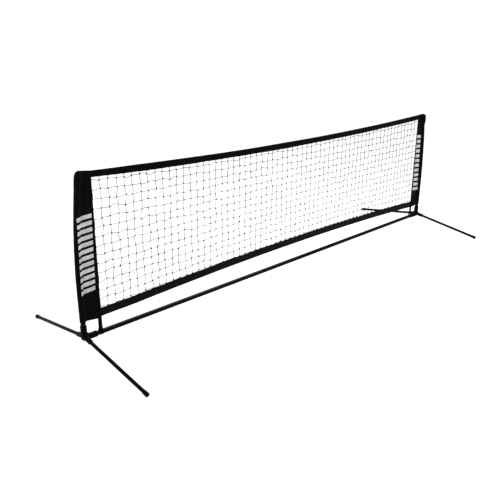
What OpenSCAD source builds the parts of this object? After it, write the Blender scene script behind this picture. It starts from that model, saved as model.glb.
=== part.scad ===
// Portable badminton net: two bent posts in moulded hubs, a plug-together rail, four splayed legs,
// and a square-mesh net held between fabric sleeves, a corded head band and a foot band.
// Millimetres. +X runs along the net, +Z is up, and the origin is on the ground under the net's middle.

/* [Frame] */
// Distance between the post axes at the hubs
span = 2990; // [2800:10:3200]
// Height of the rail's axis above the ground
rail_z = 83; // [81:1:86]
// Outer diameter of the rail tubes
rail_d = 25; // [24.5:0.5:26]
// Outer diameter of the lower post tubes
post_d = 25; // [24.5:0.5:26]
// Outer diameter of the upper poles
pole_d = 22; // [21.5:0.5:22]
// Height at which the upper poles start to bend inwards
bend_z = 290; // [280:5:300]
// Radius of the upper poles' bend
bend_r = 3800; // [3300:20:5000]
// Height of the upper poles' ends
pole_top_z = 866; // [855:1:872]

/* [Legs] */
// Outer diameter of the leg tubes
leg_d = 18; // [17.5:0.5:19]
// Distance from a post axis to the end of a leg, along the ground
leg_reach = 520; // [480:5:560]
// Height at which the leg axes cross the post axis
leg_z = 90; // [88:1:92]
// Height of a leg's axis at its outer end
tip_z = 9.6; // [9.4:0.1:10]
// Outer diameter of the flared end of a rubber cap
cap_d = 22; // [21.8:0.1:22.4]

/* [Net] */
// Distance from a post axis to the sleeve's inner edge at its hem
sleeve_w = 101; // [99:1:112]
// How much farther in the sleeve's inner edge is at the head band
edge_lean = 11; // [0:1:20]
// Height of the sleeve's bottom hem
hem_z = 160; // [155:1:162]
// How much higher the hem is round the post
hem_rise = 8; // [0:1:12]
// Height of the head band's middle line at mid-span
head_mid_z = 837; // [830:0.5:845]
// Rise of the head band's middle line from mid-span to its ends
head_sag = 31; // [20:1:35]
// Height of the head band
head_h = 35; // [30:1:37]
// Height of the foot band's middle line at mid-span
foot_mid_z = 217; // [210:1:220]
// Drop of the foot band's middle line from mid-span to its ends
foot_bow = 35; // [30:1:36]
// Height of the foot band
foot_h = 44; // [40:1:46]
// Number of mesh columns
mesh_columns = 63; // [40:1:70]
// Number of mesh rows, with the highest one cut short by the head band
mesh_rows = 14.4; // [10:0.1:16]
// Thickness of the net's twine
twine = 2.4; // [1.8:0.1:2.6]
// Width of the strap that ties each lower corner to the rail
strap_w = 19; // [16:1:20]

/* [Hidden] */

LEFT = -1;
RIGHT = 1;
FRONT = -1;
REAR = 1;

// Clearances: radial in a plug fit, and between soft pieces that lie beside each other
fit = 0.05;
gap = 0.1;
$fn = 64;
// Facets of a full turn where only a few degrees of it are swept
LONG_ARC = 1440;
// How far a cutting shape runs past the face that it cuts
past = 1;

// Tubes
post_r = post_d / 2;
pole_r = pole_d / 2;
rail_r = rail_d / 2;
leg_r = leg_d / 2;
post_bore_r = pole_r + fit;
pole_wall = 1.5;
rail_wall = 1.2;
leg_wall = 1.2;
rail_bore_r = rail_r - rail_wall;
pole_stub = 58;

// Hub: each socket's outside radius, where its bore starts, and where it ends
post_socket_r = post_r + 3.5;
post_socket_floor = 100;
post_socket_top = 147;
rail_socket_r = rail_r + 3.5;
rail_socket_floor = 22;
rail_socket_end = 67;
leg_socket_r = leg_r + 3.5;
leg_socket_floor = 24;
leg_socket_end = 60;
hub_base_z = 84;
rim = 0.5;
rim_w = 5;
rib_w = 5;
rib_h = 5;
rib_tip = 2;
leg_rib = 28;
rail_rib = 28;

// Snap buttons and their springs
button_r = 3.93;
button_hole_r = 4;
button_proud = 2.6;
post_button_z = 128;
rail_button_x = 46;
post_arm_y = 10.1;
rail_arm_y = 10.1;
leaf_t = 0.7;
leaf_w = 8;
leaf_past_button = 6;
leaf_straight = 3;

// Rail: joints of its four sections, and the elastic cord through them
rail_end = span / 2 - rail_socket_floor - fit;
rail_joint = span / 2 * 0.493;
rail_plug = 50;
rail_plug_r = rail_bore_r - fit;
rail_plug_wall = 1.1;
plug_grip = 8;
plug_collar = 4;
shock_r = 2.5;
knot_r = 5;
anchor_x = 80;
anchor_w = 8;
shock_end = span / 2 - anchor_x + knot_r + gap;

// Legs: slope of their axes, and distances along the sloping axis
leg_slope = atan((leg_z - tip_z) / leg_reach);
leg_end = leg_reach / cos(leg_slope);
cap_r = cap_d / 2;
cap_body_r = 10.4;
cap_l = 30;
cap_flare = 9;
cap_floor = 6;
cap_edge = 2;
cap_lip = 1;
cap_taper = 4;

// Bend of the upper poles: its whole angle, and the place and lean at its end
bend_a = asin((pole_top_z - bend_z) / bend_r);
bend_x = bend_r * (1 - cos(bend_a));

// Sleeve: its pocket, the fuller hood at the pocket's top, and thicknesses of cloth, web and edge tape
pocket_r = post_r + 0.4;
hood_fullness = 2;
hood_drop = 3;
// Corners of the flat cloth over the hood: from the pole's x and the band's top, and from the pole's end
hood_peak = [12, 3];
hood_turn = [-8, 10];
web_steps = 8;
cloth_t = 1.2;
web_t = 2.4;
tape_t = 3.6;
tape_w = 12;
post_cap_r = 11.6;
post_cap_plug = 22;

// Bands: half lengths, lengths that each is made in, cloth thickness, and the head cord's tunnel
head_end_z = head_mid_z + head_sag + head_h / 2;
foot_end_z = foot_mid_z - foot_bow + foot_h / 2;
head_x = span / 2 - edge_x(head_end_z);
foot_x = span / 2 - edge_x(foot_end_z);
band_lengths = 4;
length_steps = 6;
band_steps = band_lengths * length_steps;
band_t = 1.2;
fold_steps = 8;
slit = 0.4;
head_cord_r = 2.5;
head_cord_sides = 8;
tunnel_r = 3.9;
tunnel_z = head_h / 2 - tunnel_r;
foot_hem_r = 2.2;

// Strap: it hangs beside the tape, spreads just above the rail, and passes round it
strap_t = 1.4;
strap_y = tape_t / 2 + gap;
strap_x = sleeve_w - strap_w / 2;
strap_top_z = 206;
strap_spread_z = 112;
strap_steps = 24;
tab_w = 15;
tab_h = 34;
tab_t = 1.2;
tab_lift = 4;

// Distance from a post axis to the sleeve's leaning inner edge at height z
function edge_x(z) = sleeve_w + edge_lean * (z - hem_z) / (head_end_z - hem_z);

// Height of each band's middle line at x, and of the net mesh's edges, just clear of the bands
function head_z(x) = head_mid_z + head_sag * pow(x / head_x, 2);
function foot_z(x) = foot_mid_z - foot_bow * pow(x / foot_x, 2);
function mesh_low(x) = foot_z(x) + foot_h / 2 + gap;
function mesh_high(x) = head_z(x) - head_h / 2 - gap;

// Crossing of mesh column line i and row line j, on a straight column from band to band
function crossing(i, j) =
    let (
        u = 2 * i / mesh_columns - 1,
        low_x = (foot_x - gap) * u,
        high_x = (head_x - gap) * u,
        low = [low_x, mesh_low(low_x)],
        high = [high_x, mesh_high(high_x)]
    )
    low + (high - low) * min(1, j / mesh_rows);

// Four corners of the opening of the mesh cell in column i, row j
function cell(i, j) = let (h = twine / 2) [
    crossing(i, j) + [h, h],
    crossing(i + 1, j) + [-h, h],
    crossing(i + 1, j + 1) + [-h, -h],
    crossing(i, j + 1) + [h, -h]
];

// Points on an arc in the order of its angles, and an outline's points at one place along a band
function arc(r, z, a0, a1) =
    [for (k = [0 : fold_steps])
        let (a = a0 + (a1 - a0) * k / fold_steps)
        [r * cos(a), z + r * sin(a)]];
function station(k, half) = half * (2 * k / band_steps - 1);
function stations(n, half) = [for (k = [(n - 1) * length_steps : n * length_steps]) station(k, half)];
function ring(outline, x, z) = [for (p = outline) [x, p[0], z + p[1]]];

// Cloth of height h folded over a round tunnel along its top edge, and the same upside down
function folded(r, h) =
    let (
        half = slit / 2 + band_t,
        outer_a = asin(half / r),
        inner_a = asin(slit / 2 / (r - band_t)),
        z = h / 2 - r
    )
    concat(
        [[half, -h / 2]],
        arc(r, z, outer_a - 90, 270 - outer_a),
        [[-half, -h / 2], [-slit / 2, -h / 2]],
        arc(r - band_t, z, 270 - inner_a, inner_a - 90),
        [[slit / 2, -h / 2]]
    );
function flipped(list) = [for (p = reversed(list)) [p[0], -p[1]]];

// Left half of a strap outline: inner or outer face at half width y and radius r round the rail
function strap_side(y, r) =
    let (
        drop = strap_spread_z - rail_z,
        start = 90 + atan(y / drop) + acos(r / norm([y, drop]))
    )
    concat(
        [[-y, strap_top_z], [-y, strap_spread_z]],
        [for (k = [0 : strap_steps])
            let (a = start + (270 - start) * k / strap_steps)
            [r * cos(a), rail_z + r * sin(a)]]
    );
function reversed(list) = [for (k = [len(list) - 1 : -1 : 0]) list[k]];
function mirrored(list) = [for (p = reversed(list)) [-p[0], p[1]]];
function strap_face(y, r) = concat(strap_side(y, r), mirrored(strap_side(y, r)));

// Places children, drawn about a post's axis with +X towards the net, at one end of the net
module at_post(end) {
    translate([end * span / 2, 0, 0])
    if (end == RIGHT) mirror([1, 0, 0]) children();
    else children();
}

// Turns +Z to run out along a leg's axis, from the point where it crosses the post axis
module along_leg(way) {
    translate([0, 0, leg_z])
    rotate([-way * (90 + leg_slope), 0, 0])
    children();
}

// Turns +Z to run along the rail, from the post axis towards the net; +Y stays +Y
module along_rail() {
    translate([0, 0, rail_z])
    rotate([0, 90, 0])
    children();
}

// A rod, or a tube with a bore, along the upper pole's bend
module bent_tube(r, bore_r = 0) {
    translate([bend_r, 0, bend_z])
    mirror([1, 0, 0])
    rotate([90, 0, 0])
    rotate_extrude(angle = bend_a, $fn = LONG_ARC)
    translate([bend_r, 0])
    difference() {
        circle(r = r, $fn = 64);
        if (bore_r > 0) circle(r = bore_r, $fn = 64);
    }
}

// Moves children to the upper pole's end, in line with it
module at_pole_top() {
    translate([bend_x, 0, pole_top_z])
    rotate([0, bend_a, 0])
    children();
}

// A solid through rings of points. Each end is closed by quads between a ring's two halves
module skin(rings) {
    n = len(rings[0]);
    last = (len(rings) - 1) * n;
    quads = [for (k = [0 : n / 2 - 2]) [k, k + 1, n - 2 - k, n - 1 - k]];
    polyhedron(
        points = [for (ring = rings) for (point = ring) point],
        faces = concat(
            quads,
            [for (start = [0 : n : last - n], k = [0 : n - 1])
                let (a = start + k, b = start + (k + 1) % n)
                [b, a, a + n, b + n]],
            [for (quad = quads) [for (k = [3 : -1 : 0]) last + quad[k]]]
        )
    );
}

module tube(r, bore_r, z0, z1) {
    translate([0, 0, z0])
    difference() {
        cylinder(r = r, h = z1 - z0);
        translate([0, 0, -past]) cylinder(r = bore_r, h = z1 - z0 + 2 * past);
    }
}

// A hub socket with a raised rim round its mouth
module socket(r, end) {
    cylinder(r = r, h = end);
    translate([0, 0, end - rim_w]) cylinder(r = r + rim, h = rim_w);
}

// Triangular rib between the post socket and a socket below it
module hub_rib(reach) {
    rotate([90, 0, 0])
    linear_extrude(rib_w, center = true)
    polygon([
        [0, hub_base_z],
        [reach, hub_base_z],
        [reach, leg_z + leg_socket_r - rib_tip],
        [post_socket_r, leg_z + leg_socket_r + rib_h],
        [0, leg_z + leg_socket_r + rib_h]
    ]);
}

module hub(end) {
    color("#1b1b1d")
    at_post(end)
    difference() {
        union() {
            translate([0, 0, hub_base_z]) sphere(r = post_socket_r);
            translate([0, 0, hub_base_z]) socket(post_socket_r, post_socket_top - hub_base_z);
            along_rail() socket(rail_socket_r, rail_socket_end);
            for (way = [FRONT, REAR]) {
                along_leg(way) socket(leg_socket_r, leg_socket_end);
                rotate([0, 0, way * 90]) hub_rib(leg_rib);
            }
            hub_rib(rail_rib);
        }
        translate([0, 0, post_socket_floor]) cylinder(r = post_r + fit, h = post_socket_top);
        along_rail() translate([0, 0, rail_socket_floor]) cylinder(r = rail_r + fit, h = rail_socket_end);
        for (way = [FRONT, REAR])
            along_leg(way) translate([0, 0, leg_socket_floor]) cylinder(r = leg_r + fit, h = leg_socket_end);
        translate([0, 0, post_button_z]) button_hole();
        translate([rail_button_x, 0, rail_z]) button_hole();
    }
}

// A hole from a tube's axis out towards +Y
module button_hole() {
    rotate([-90, 0, 0]) cylinder(r = button_hole_r, h = post_d);
}

module post_lower(end) {
    color("#17181a")
    at_post(end)
    difference() {
        tube(post_r, post_bore_r, post_socket_floor + fit, bend_z);
        translate([0, 0, post_button_z]) button_hole();
    }
}

module post_upper(end) {
    color("#17181a")
    at_post(end) {
        tube(pole_r, pole_r - pole_wall, bend_z - pole_stub, bend_z);
        bent_tube(pole_r, pole_r - pole_wall);
    }
}

// Domed plug in the top of an upper pole
module post_cap(end) {
    color("#222224")
    at_post(end)
    at_pole_top() {
        translate([0, 0, -post_cap_plug]) cylinder(r = pole_r - pole_wall - fit, h = post_cap_plug);
        intersection() {
            sphere(r = post_cap_r);
            cylinder(r = post_cap_r, h = post_cap_r);
        }
    }
}

// Round-ended pin along +Y, from the leaf's face at y to the tip
module snap_button(arm_y, tip_y) {
    rotate([-90, 0, 0]) {
        translate([0, 0, arm_y]) cylinder(r = button_r, h = tip_y - button_r - arm_y);
        translate([0, 0, tip_y - button_r])
        intersection() {
            sphere(r = button_r);
            cylinder(r = button_r, h = button_r);
        }
    }
}

// U-shaped leaf spring in a tube along +Z, with the button at z
module snap_spring(arm_y, z) {
    bend = 2 * arm_y + leaf_straight;
    translate([-leaf_w / 2, 0, z - bend])
    rotate([90, 0, 90])
    linear_extrude(leaf_w)
    difference() {
        snap_outline(arm_y, bend + leaf_past_button);
        translate([0, leaf_t]) snap_outline(arm_y - leaf_t, bend + leaf_past_button);
    }
}

module snap_outline(r, length) {
    translate([0, r]) circle(r = r);
    translate([-r, r]) square([2 * r, length - r]);
}

module post_button(end) {
    color("#8a8d90")
    at_post(end)
    translate([0, 0, post_button_z]) snap_button(post_arm_y, post_socket_r + button_proud);
}

module post_spring(end) {
    color("#a9acaf")
    at_post(end)
    snap_spring(post_arm_y, post_button_z);
}

module rail_button(end) {
    color("#8a8d90")
    at_post(end)
    translate([rail_button_x, 0, rail_z]) snap_button(rail_arm_y, rail_socket_r + button_proud);
}

module rail_spring(end) {
    color("#a9acaf")
    at_post(end)
    along_rail() snap_spring(rail_arm_y, rail_button_x);
}

// One rail tube, and a reduced plug on its right end that enters the next one
module rail_section(x0, x1, plug) {
    color("#17181a")
    difference() {
        translate([0, 0, rail_z])
        rotate([0, 90, 0]) {
            tube(rail_r, rail_bore_r, x0, x1);
            if (plug) {
                bore_r = rail_plug_r - rail_plug_wall;
                tube(rail_plug_r, bore_r, x1 - plug_grip, x1 + rail_plug);
                tube(rail_bore_r, bore_r, x1 - plug_grip, x1 - plug_grip + plug_collar);
            }
        }
        for (end = [LEFT, RIGHT])
            at_post(end) translate([rail_button_x, 0, rail_z]) button_hole();
    }
}

// Elastic cord through the rail, with a knot outside each anchor
module rail_shock_cord() {
    color("#2c2c30")
    translate([0, 0, rail_z])
    rotate([0, 90, 0]) {
        translate([0, 0, -shock_end]) cylinder(r = shock_r, h = 2 * shock_end);
        for (z = [-shock_end, shock_end])
            translate([0, 0, z]) sphere(r = knot_r);
    }
}

// Plug that holds the elastic cord's knot inside a rail end
module cord_anchor(end) {
    color("#222224")
    at_post(end)
    along_rail()
    tube(rail_bore_r - fit, shock_r + fit, anchor_x, anchor_x + anchor_w);
}

module leg(end, way) {
    color("#17181a")
    at_post(end)
    along_leg(way)
    tube(leg_r, leg_r - leg_wall, leg_socket_floor + fit, leg_end - cap_floor);
}

// Rubber cap: a sleeve over the leg's end, flared at its foot and flat where it meets the ground
module leg_cap(end, way) {
    color("#0f0f10")
    at_post(end)
    difference() {
        along_leg(way)
        translate([0, 0, leg_end - cap_l])
        rotate_extrude()
        polygon([
            [leg_r + fit, 0],
            [cap_body_r - cap_lip, 0],
            [cap_body_r, cap_lip],
            [cap_body_r, cap_l - cap_flare - cap_taper],
            [cap_r, cap_l - cap_flare],
            [cap_r, cap_l - cap_edge],
            [cap_r - cap_edge, cap_l],
            [0, cap_l],
            [0, cap_l - cap_floor + fit],
            [leg_r + fit, cap_l - cap_floor + fit]
        ]);
        translate([0, way * leg_reach, -cap_d]) cube(2 * cap_d, center = true);
    }
}

// Knotted square netting as one flat grid, pulled into the bands' curves
module net_mesh() {
    low = [for (i = [0 : mesh_columns]) crossing(i, 0)];
    high = [for (i = [mesh_columns : -1 : 0]) crossing(i, mesh_rows)];
    color("#26262a")
    rotate([90, 0, 0])
    linear_extrude(twine, center = true)
    difference() {
        polygon(concat(low, high));
        for (i = [0 : mesh_columns - 1], j = [0 : ceil(mesh_rows) - 1]) polygon(cell(i, j));
    }
}

// One length of the cloth strip folded over the head cord
module head_band(n) {
    color("#101011")
    skin([for (x = stations(n, head_x)) ring(folded(tunnel_r, head_h), x, head_z(x))]);
}

module head_cord() {
    outline = [for (k = [0 : head_cord_sides - 1])
        let (a = 360 * k / head_cord_sides)
        head_cord_r * [cos(a), sin(a)]];
    color("#3a3a3e")
    skin([for (k = [0 : band_steps])
        let (x = station(k, head_x))
        ring(outline, x, head_z(x) + tunnel_z)]);
}

// One length of the cloth strip folded up over the netting's lower edge
module foot_band(n) {
    color("#101011")
    skin([for (x = stations(n, foot_x)) ring(flipped(folded(foot_hem_r, foot_h)), x, foot_z(x))]);
}

// Solid that fills a sleeve's pocket round the post, from z0 up to a fuller round top
module pocket(r, z0) {
    translate([0, 0, z0]) cylinder(r = r, h = bend_z - z0);
    bent_tube(r);
    at_pole_top() translate([0, 0, -hood_drop]) sphere(r = r + hood_fullness);
}

// Two layers of cloth, open at the bottom where the post enters, closed over its top
module sleeve(end) {
    color("#0e0e0f")
    at_post(end)
    difference() {
        union() {
            pocket(pocket_r + cloth_t, hem_z + hem_rise);
            rotate([90, 0, 0])
            linear_extrude(web_t, center = true)
            polygon(concat(
                [[0, hem_z + hem_rise], [edge_x(hem_z) - tape_w, hem_z]],
                [[edge_x(head_end_z) - tape_w, head_end_z], [bend_x, head_end_z] + hood_peak],
                [[bend_x, pole_top_z] + hood_turn],
                [for (k = [web_steps : -1 : 0])
                    let (a = bend_a * k / web_steps)
                    [bend_r * (1 - cos(a)), bend_z + bend_r * sin(a)]]
            ));
        }
        pocket(pocket_r, hem_z - past);
    }
}

// Binding that joins the netting to the sleeve
module edge_tape(end) {
    color("#080809")
    at_post(end)
    rotate([90, 0, 0])
    linear_extrude(tape_t, center = true)
    polygon([
        [edge_x(hem_z) - tape_w, hem_z],
        [edge_x(hem_z), hem_z],
        [edge_x(head_end_z), head_end_z],
        [edge_x(head_end_z) - tape_w, head_end_z]
    ]);
}

// Webbing loop that ties the net's lower corner down to the rail
module strap(end) {
    color("#131315")
    at_post(end)
    translate([strap_x - strap_w / 2, 0, 0])
    rotate([90, 0, 90])
    linear_extrude(strap_w)
    polygon(concat(
        strap_face(strap_y + strap_t, rail_r + 2 * fit + strap_t),
        reversed(strap_face(strap_y, rail_r + 2 * fit))
    ));
}

// Hook-and-loop patch on the strap's rear run
module strap_tab(end) {
    color("#2a2a2d")
    at_post(end)
    translate([strap_x - tab_w / 2, strap_y + strap_t, hem_z + tab_lift])
    cube([tab_w, tab_t, tab_h]);
}

hub(LEFT);  // hub_left
hub(RIGHT);  // hub_right
post_lower(LEFT);  // post_lower_left
post_lower(RIGHT);  // post_lower_right
post_upper(LEFT);  // post_upper_left
post_upper(RIGHT);  // post_upper_right
post_cap(LEFT);  // post_cap_left
post_cap(RIGHT);  // post_cap_right
post_button(LEFT);  // post_button_left
post_button(RIGHT);  // post_button_right
post_spring(LEFT);  // post_spring_left
post_spring(RIGHT);  // post_spring_right
rail_section(-rail_end, -rail_joint, true);  // rail_section_1
rail_section(-rail_joint, 0, true);  // rail_section_2
rail_section(0, rail_joint, true);  // rail_section_3
rail_section(rail_joint, rail_end, false);  // rail_section_4
rail_button(LEFT);  // rail_button_left
rail_button(RIGHT);  // rail_button_right
rail_spring(LEFT);  // rail_spring_left
rail_spring(RIGHT);  // rail_spring_right
rail_shock_cord();
cord_anchor(LEFT);  // cord_anchor_left
cord_anchor(RIGHT);  // cord_anchor_right
leg(LEFT, FRONT);  // leg_left_front
leg(LEFT, REAR);  // leg_left_rear
leg(RIGHT, FRONT);  // leg_right_front
leg(RIGHT, REAR);  // leg_right_rear
leg_cap(LEFT, FRONT);  // leg_cap_left_front
leg_cap(LEFT, REAR);  // leg_cap_left_rear
leg_cap(RIGHT, FRONT);  // leg_cap_right_front
leg_cap(RIGHT, REAR);  // leg_cap_right_rear
net_mesh();
head_band(1);  // head_band_1
head_band(2);  // head_band_2
head_band(3);  // head_band_3
head_band(4);  // head_band_4
head_cord();
foot_band(1);  // foot_band_1
foot_band(2);  // foot_band_2
foot_band(3);  // foot_band_3
foot_band(4);  // foot_band_4
sleeve(LEFT);  // sleeve_left
sleeve(RIGHT);  // sleeve_right
edge_tape(LEFT);  // edge_tape_left
edge_tape(RIGHT);  // edge_tape_right
strap(LEFT);  // strap_left
strap(RIGHT);  // strap_right
strap_tab(LEFT);  // strap_tab_left
strap_tab(RIGHT);  // strap_tab_right
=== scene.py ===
"""Looks of the portable net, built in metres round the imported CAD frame."""
import math
import random

import bpy
from mathutils import Matrix, Vector, noise


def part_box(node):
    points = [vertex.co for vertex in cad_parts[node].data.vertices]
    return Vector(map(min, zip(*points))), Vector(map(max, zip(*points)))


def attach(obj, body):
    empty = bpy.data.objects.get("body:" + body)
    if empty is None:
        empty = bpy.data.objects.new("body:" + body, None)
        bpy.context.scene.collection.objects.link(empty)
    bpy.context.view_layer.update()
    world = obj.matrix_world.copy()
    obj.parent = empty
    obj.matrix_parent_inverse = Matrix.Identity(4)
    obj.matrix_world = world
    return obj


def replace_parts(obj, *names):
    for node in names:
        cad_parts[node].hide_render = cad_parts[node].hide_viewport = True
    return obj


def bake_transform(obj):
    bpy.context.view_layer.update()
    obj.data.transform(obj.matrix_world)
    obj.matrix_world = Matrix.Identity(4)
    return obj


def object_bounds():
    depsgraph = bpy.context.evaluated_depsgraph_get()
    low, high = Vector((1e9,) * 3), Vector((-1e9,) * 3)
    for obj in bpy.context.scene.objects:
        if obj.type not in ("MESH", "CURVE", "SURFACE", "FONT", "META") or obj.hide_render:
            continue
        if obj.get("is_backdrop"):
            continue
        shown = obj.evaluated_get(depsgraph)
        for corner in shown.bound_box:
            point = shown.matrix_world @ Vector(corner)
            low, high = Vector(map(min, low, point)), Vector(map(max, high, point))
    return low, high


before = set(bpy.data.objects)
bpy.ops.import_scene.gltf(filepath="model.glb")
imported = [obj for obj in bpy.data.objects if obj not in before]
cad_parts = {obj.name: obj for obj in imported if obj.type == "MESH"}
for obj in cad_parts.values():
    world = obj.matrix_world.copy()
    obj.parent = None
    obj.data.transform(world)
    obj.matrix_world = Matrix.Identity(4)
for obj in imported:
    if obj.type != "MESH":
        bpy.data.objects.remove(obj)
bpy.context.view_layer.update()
rng = random.Random(20)

LEFT, RIGHT, FRONT, REAR = -1, 1, -1, 1
SIDE_NAME = {LEFT: "left", RIGHT: "right"}
WAY_NAME = {FRONT: "front", REAR: "rear"}


def centre(node):
    """Middle of a node's box."""
    low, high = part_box(node)
    return (low + high) / 2


def clamp(v):
    return max(0.0, min(1.0, v))


def smooth(v):
    """0 to 1, easing in and out, as v goes from 0 to 1."""
    v = clamp(v)
    return v * v * (3 - 2 * v)


def spaced(low, high, count):
    """Evenly spaced values from low to high, in count steps."""
    return [low + (high - low) * k / count for k in range(count + 1)]


def circle(count):
    """Angles evenly round a whole turn."""
    return [2 * math.pi * k / count for k in range(count)]


def noise_at(x, y, z, seed):
    """Smooth noise about 0, with a field of its own for each seed."""
    return noise.noise(Vector((x, y, z + 17.3 * seed)))


def box_of(nodes):
    """The box round several nodes."""
    boxes = [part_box(node) for node in nodes]
    low = Vector(min(box[0][k] for box in boxes) for k in range(3))
    high = Vector(max(box[1][k] for box in boxes) for k in range(3))
    return low, high


# ---------------------------------------------------------------- sizes
POST_X = centre("post_lower_right").x
BEND_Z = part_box("post_lower_right")[1].z
# Radius of the pole's bend over the straight post, and height of the pole's top
BEND_R, POLE_TOP = 3.8, 0.866
RAIL_Z = centre("rail_section_2").z
RAIL_R = 0.0125
HEM_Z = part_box("sleeve_left")[0].z
# How much higher the sleeve's hem is at the post than at the net
HEM_RISE = 0.008

HEAD_BANDS = ["head_band_" + str(n) for n in range(1, 5)]
HEAD_LOW, HEAD_HIGH = box_of(HEAD_BANDS)
HEAD_H = 0.035
HEAD_MID = HEAD_LOW.z + HEAD_H / 2
HEAD_RISE = HEAD_HIGH.z - HEAD_LOW.z - HEAD_H
HEAD_X = HEAD_HIGH.x
# The head band is lifted a little, and more at its left end than at its right
HEAD_LIFT, HEAD_TILT = 0.0015, 0.0055
# Its cloth stands a little fuller than it was made, unevenly
HEAD_FULL, HEAD_UNEVEN = 1.02, 0.05
# It narrows towards its left end: by what share, from where, and over what length
NARROW_SHARE, NARROW_FROM, NARROW_OVER = 0.11, 1.12, 0.22

FOOT_BANDS = ["foot_band_" + str(n) for n in range(1, 5)]
FOOT_LOW, FOOT_HIGH = box_of(FOOT_BANDS)
FOOT_H = 0.044
FOOT_MID = FOOT_HIGH.z - FOOT_H / 2
FOOT_DROP = FOOT_HIGH.z - FOOT_LOW.z - FOOT_H
FOOT_X = FOOT_HIGH.x
# The foot band's left end is tied up a little higher: by how much, from where, over what length
TIE_LIFT, TIE_FROM, TIE_OVER = 0.005, 1.18, 0.2

TAPE_LOW, TAPE_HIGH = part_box("edge_tape_right")
TAPE_W = 0.012
TAPE_TOP = TAPE_HIGH.z
SLEEVE_W = POST_X - TAPE_HIGH.x + TAPE_W
EDGE_LEAN = TAPE_HIGH.x - TAPE_LOW.x - TAPE_W


def head_z(x):
    """Height of the head band's middle at x."""
    u = x / HEAD_X
    return HEAD_MID + HEAD_RISE * u * u + HEAD_LIFT - HEAD_TILT * u


def head_size(x):
    """How high the head band stands at x, as a share of its made height."""
    narrow = NARROW_SHARE * smooth((-x - NARROW_FROM) / NARROW_OVER)
    return HEAD_FULL + HEAD_UNEVEN * noise_at(x * 3.1, 0.4, 0, 21) - narrow


def foot_z(x):
    """Height of the foot band's middle at x."""
    tied = TIE_LIFT * smooth((-x - TIE_FROM) / TIE_OVER)
    return FOOT_MID - FOOT_DROP * (x / FOOT_X) ** 2 + tied


def tape_top(end):
    """Height of the head band's top edge at one end of the net."""
    return head_z(end * HEAD_X) + HEAD_H / 2 * head_size(end * HEAD_X)


def edge_x(z):
    """Distance from a post's axis to the sleeve's leaning inner edge at height z."""
    return SLEEVE_W + EDGE_LEAN * (z - HEM_Z) / (TAPE_TOP - HEM_Z)


def inner_x(z):
    """The same to the middle of the edge tape."""
    return edge_x(z) - TAPE_W / 2


def hem_at(x):
    """Height of the sleeve's hem, which rises towards the post."""
    return HEM_Z + HEM_RISE * smooth(1 - x / (edge_x(HEM_Z) - TAPE_W))


def pole_offset(z):
    """How far the bent pole's axis leans towards the net at height z."""
    rise = max(0.0, z - BEND_Z)
    return BEND_R - math.sqrt(BEND_R**2 - rise**2)


def at_post(end, x, y, z):
    """A point measured from a post's axis, with x towards the net."""
    return Vector((end * (POST_X - x), y, z))


# ---------------------------------------------------------------- mesh building
# A stitch's radius, the length from one stitch to the next, and the share of it that is thread
STITCH_R, STITCH_PITCH, STITCH_SHARE = 0.00042, 0.0046, 0.66


class Builder:
    """Collects points and faces of one mesh."""

    def __init__(self):
        self.points = []
        self.faces = []

    def grid(self, rows, close_rows=False, close_columns=False):
        """Quads over a list of rows of points."""
        start, n, m = len(self.points), len(rows), len(rows[0])
        for row in rows:
            self.points.extend(row)
        for i in range(n if close_rows else n - 1):
            a, b = start + i * m, start + (i + 1) % n * m
            for j in range(m if close_columns else m - 1):
                k = (j + 1) % m
                self.faces.append((a + j, a + k, b + k, b + j))
        return start

    def tube(self, path, radii, sides, closed=False, side=Vector((0, 1, 0))):
        """A round tube along a path, with its ends closed unless the path is."""
        n = len(path)
        rows = []
        for i, p in enumerate(path):
            before = path[i - 1] if closed or i else path[0]
            after = path[(i + 1) % n] if closed or i < n - 1 else path[-1]
            along = (after - before).normalized()
            u = side - along * side.dot(along)
            if u.length < 1e-4:
                u = along.orthogonal()
            u.normalize()
            v = along.cross(u)
            r = radii[i] if isinstance(radii, (list, tuple)) else radii
            rows.append([p + r * (math.cos(a) * u + math.sin(a) * v) for a in circle(sides)])
        start = self.grid(rows, close_rows=closed, close_columns=True)
        if not closed:
            self.close_ends(start, sides)

    def close_ends(self, start, sides):
        """Closes the first and last rings of the tube whose points begin at start."""
        last = len(self.points) - sides
        self.faces.append(tuple(start + k for k in range(sides - 1, -1, -1)))
        self.faces.append(tuple(last + k for k in range(sides)))

    def stitch(self, p, q, out):
        """One raised stitch from p to q, with out pointing away from the cloth."""
        middle = (p + q) / 2 + out * STITCH_R * 0.9
        path = [p, p.lerp(middle, 0.6), middle, q.lerp(middle, 0.6), q]
        radii = [STITCH_R * share for share in (0.55, 0.95, 1, 0.95, 0.55)]
        self.tube(path, radii, 5, side=out)

    def stitch_row(self, path, side, pitch=STITCH_PITCH):
        """Stitches evenly along a path of points on the cloth's front or rear side."""
        lengths = [0.0]
        for a, b in zip(path, path[1:]):
            lengths.append(lengths[-1] + (b - a).length)
        count = max(1, int(lengths[-1] / pitch))

        def at(s):
            lo, hi = 0, len(lengths) - 1
            while hi - lo > 1:
                mid = (lo + hi) // 2
                if lengths[mid] <= s:
                    lo = mid
                else:
                    hi = mid
            t = (s - lengths[lo]) / max(1e-9, lengths[hi] - lengths[lo])
            return path[lo].lerp(path[hi], t)

        reach = pitch * STITCH_SHARE / 2
        for k in range(count):
            s = (k + 0.5) * lengths[-1] / count
            self.stitch(at(s - reach), at(s + reach), Vector((0, side, 0)))

    def piece(self, name, material, slot, body="frame"):
        """The mesh as a named piece that rides on a body."""
        mesh = bpy.data.meshes.new(name)
        mesh.from_pydata([tuple(p) for p in self.points], [], self.faces)
        mesh.validate()
        mesh.update()
        mesh.polygons.foreach_set("use_smooth", [True] * len(mesh.polygons))
        mesh.materials.append(material)
        made = bpy.data.objects.new(name, mesh)
        bpy.context.scene.collection.objects.link(made)
        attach(made, body)
        return made


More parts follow.
